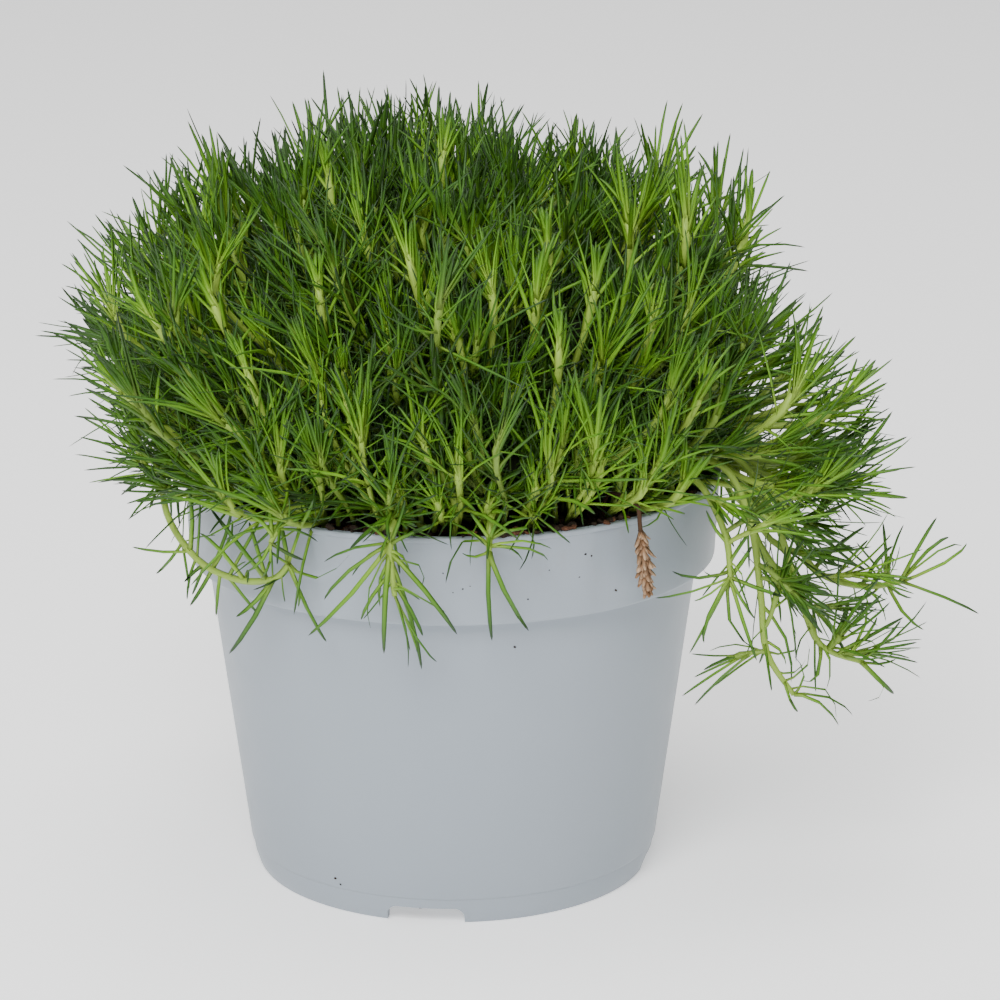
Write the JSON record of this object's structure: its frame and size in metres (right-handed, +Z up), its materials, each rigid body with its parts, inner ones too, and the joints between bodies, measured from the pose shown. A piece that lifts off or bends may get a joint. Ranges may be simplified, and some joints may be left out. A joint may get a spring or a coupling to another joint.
{
  "type": "potted pearlwort",
  "caption": "Cushion of needle-leaved pearlwort with a few stems hanging over the rim of a round tapered nursery pot filled with compost.",
  "frame": {"origin": "middle of the whole plant's footprint, on the plane the pot stands on; the pot's axis is 12.5 mm to -X and 5.5 mm to -Y of it, because stems hang over the rim on the right and the cushion stands steeply over it in front", "axes": "+Z up, +X towards the side where the long stems hang, -Y towards the front with the dried flower head"},
  "size_m": [0.2073, 0.1638, 0.1744],
  "materials": {
    "pot": "satin",
    "soil": "matte",
    "plant": "satin",
    "dried": "matte"
  },
  "bodies": {
    "root": {"pot": "pot", "soil": "soil", "cushion": "plant", "trailer_left": "plant", "trailer_front_left": "plant", "trailer_front_middle": "plant", "trailer_front": "plant", "trailer_right_near": "plant", "trailer_right_low": "plant", "trailer_right_outer": "plant", "trailer_right_long": "plant", "trailer_right_back": "plant", "trailer_back": "plant", "trailer_left_back": "plant", "dried_spray": "dried"}
  },
  "joints": []
}
